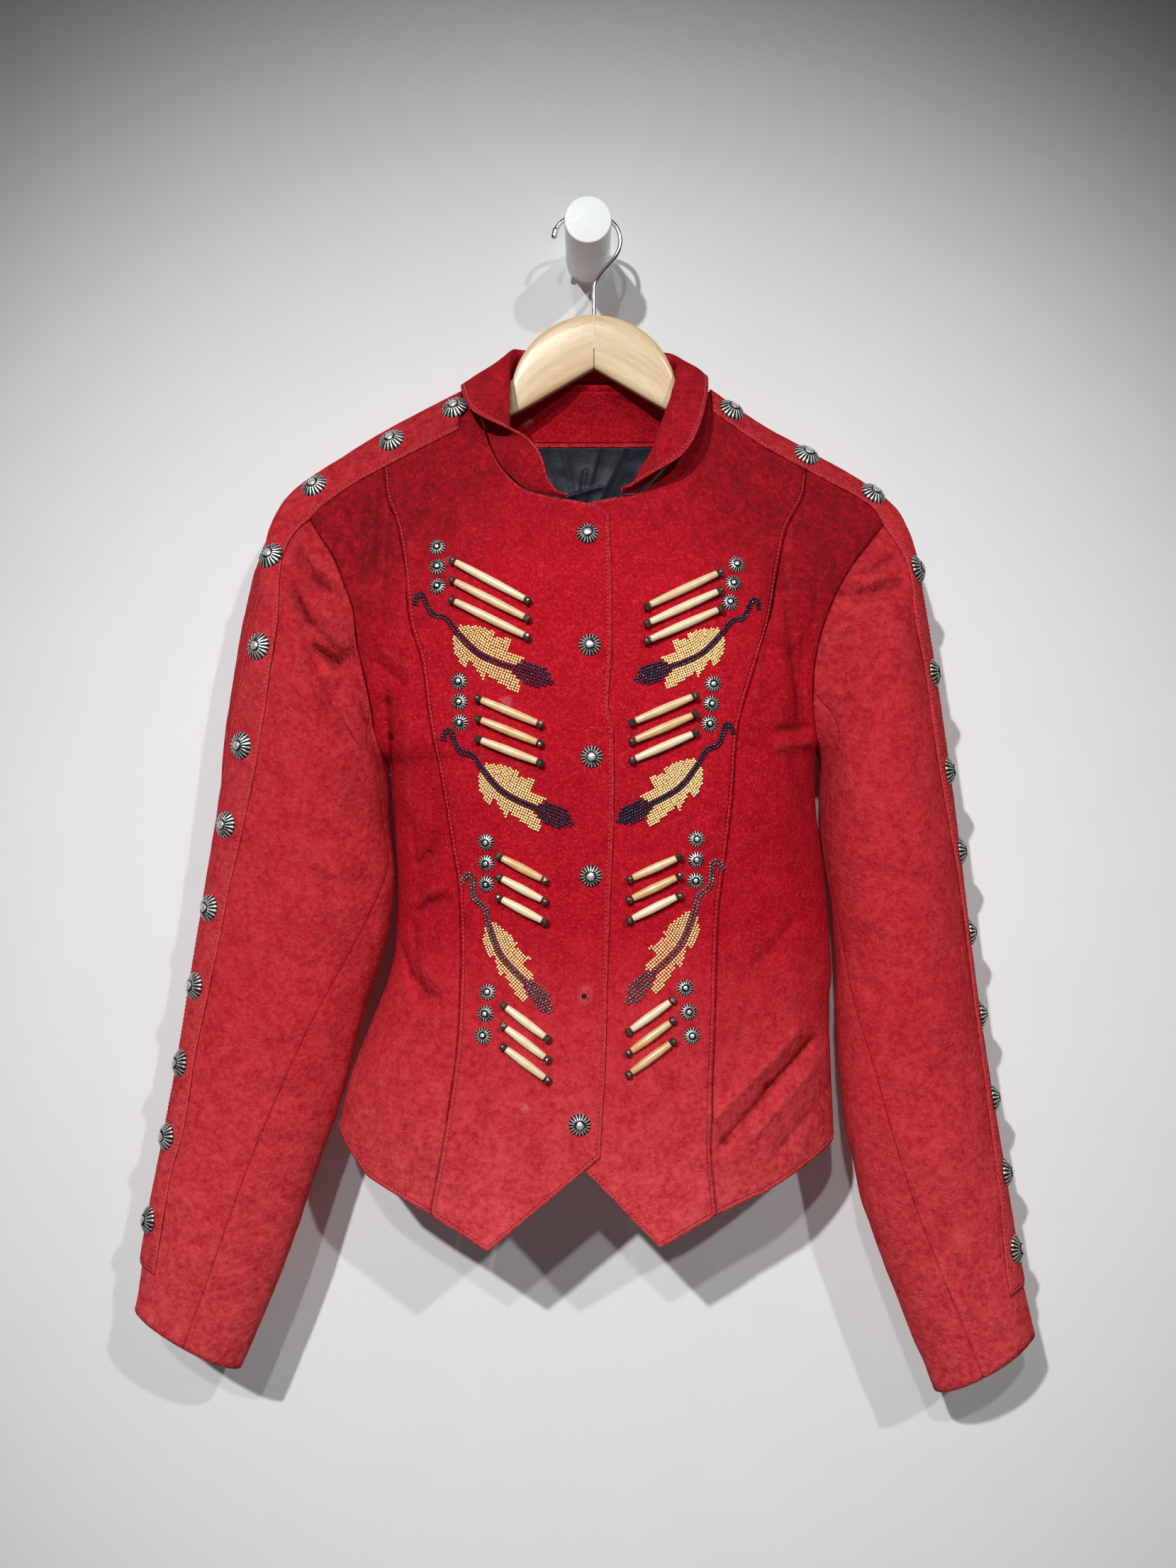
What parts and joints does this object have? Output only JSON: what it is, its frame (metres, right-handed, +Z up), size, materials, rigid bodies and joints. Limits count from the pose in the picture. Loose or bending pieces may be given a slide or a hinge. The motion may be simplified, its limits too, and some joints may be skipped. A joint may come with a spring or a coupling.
{
  "type": "suede western jacket",
  "caption": "Short fitted red suede jacket with pointed front hem, studded bands down the sleeves and bone pipe and beaded feather trim, hung on a wooden hanger from a round wall peg.",
  "frame": {"origin": "centre of the wall peg's round back face, on the wall plane", "axes": "+X to the viewer's right, +Y into the wall, +Z up; the jacket's front faces -Y"},
  "size_m": [0.6747, 0.1419, 0.8944],
  "materials": {
    "suede_red": "napped suede, worn paler at edges",
    "satin_navy": "satin lining",
    "antique_silver": "cast white metal, antiqued silver",
    "bone": "polished bone",
    "seed_beads": "opaque seed beads in rows",
    "maple": "pale varnished wood",
    "chrome": "plated steel wire",
    "white_paint": "satin white paint"
  },
  "bodies": {
    "root": {"front_centre_right": "suede_red", "front_side_right": "suede_red", "front_centre_left": "suede_red", "front_side_left": "suede_red", "back": "suede_red", "sleeve_upper_right": "suede_red", "sleeve_under_right": "suede_red", "sleeve_upper_left": "suede_red", "sleeve_under_left": "suede_red", "strip_right": "suede_red", "strip_left": "suede_red", "collar": "suede_red", "neck_facing": "suede_red", "lining": "satin_navy", "snap_1": "antique_silver", "snap_2": "antique_silver", "snap_3": "antique_silver", "snap_4": "antique_silver", "snap_5": "antique_silver", "pipe_1": "bone", "pipe_2": "bone", "pipe_3": "bone", "pipe_4": "bone", "pipe_5": "bone", "pipe_6": "bone", "pipe_7": "bone", "pipe_8": "bone", "pipe_9": "bone", "pipe_10": "bone", "pipe_11": "bone", "pipe_12": "bone", "pipe_13": "bone", "pipe_14": "bone", "pipe_15": "bone", "pipe_16": "bone", "pipe_17": "bone", "pipe_18": "bone", "pipe_19": "bone", "pipe_20": "bone", "pipe_21": "bone", "pipe_22": "bone", "pipe_23": "bone", "pipe_24": "bone", "feather_1": "seed_beads", "feather_2": "seed_beads", "feather_3": "seed_beads", "feather_4": "seed_beads", "feather_5": "seed_beads", "feather_6": "seed_beads", "hanger_arm_right": "maple", "hanger_arm_left": "maple", "hanger_hook": "chrome", "wall_peg": "white_paint"}
  },
  "joints": []
}
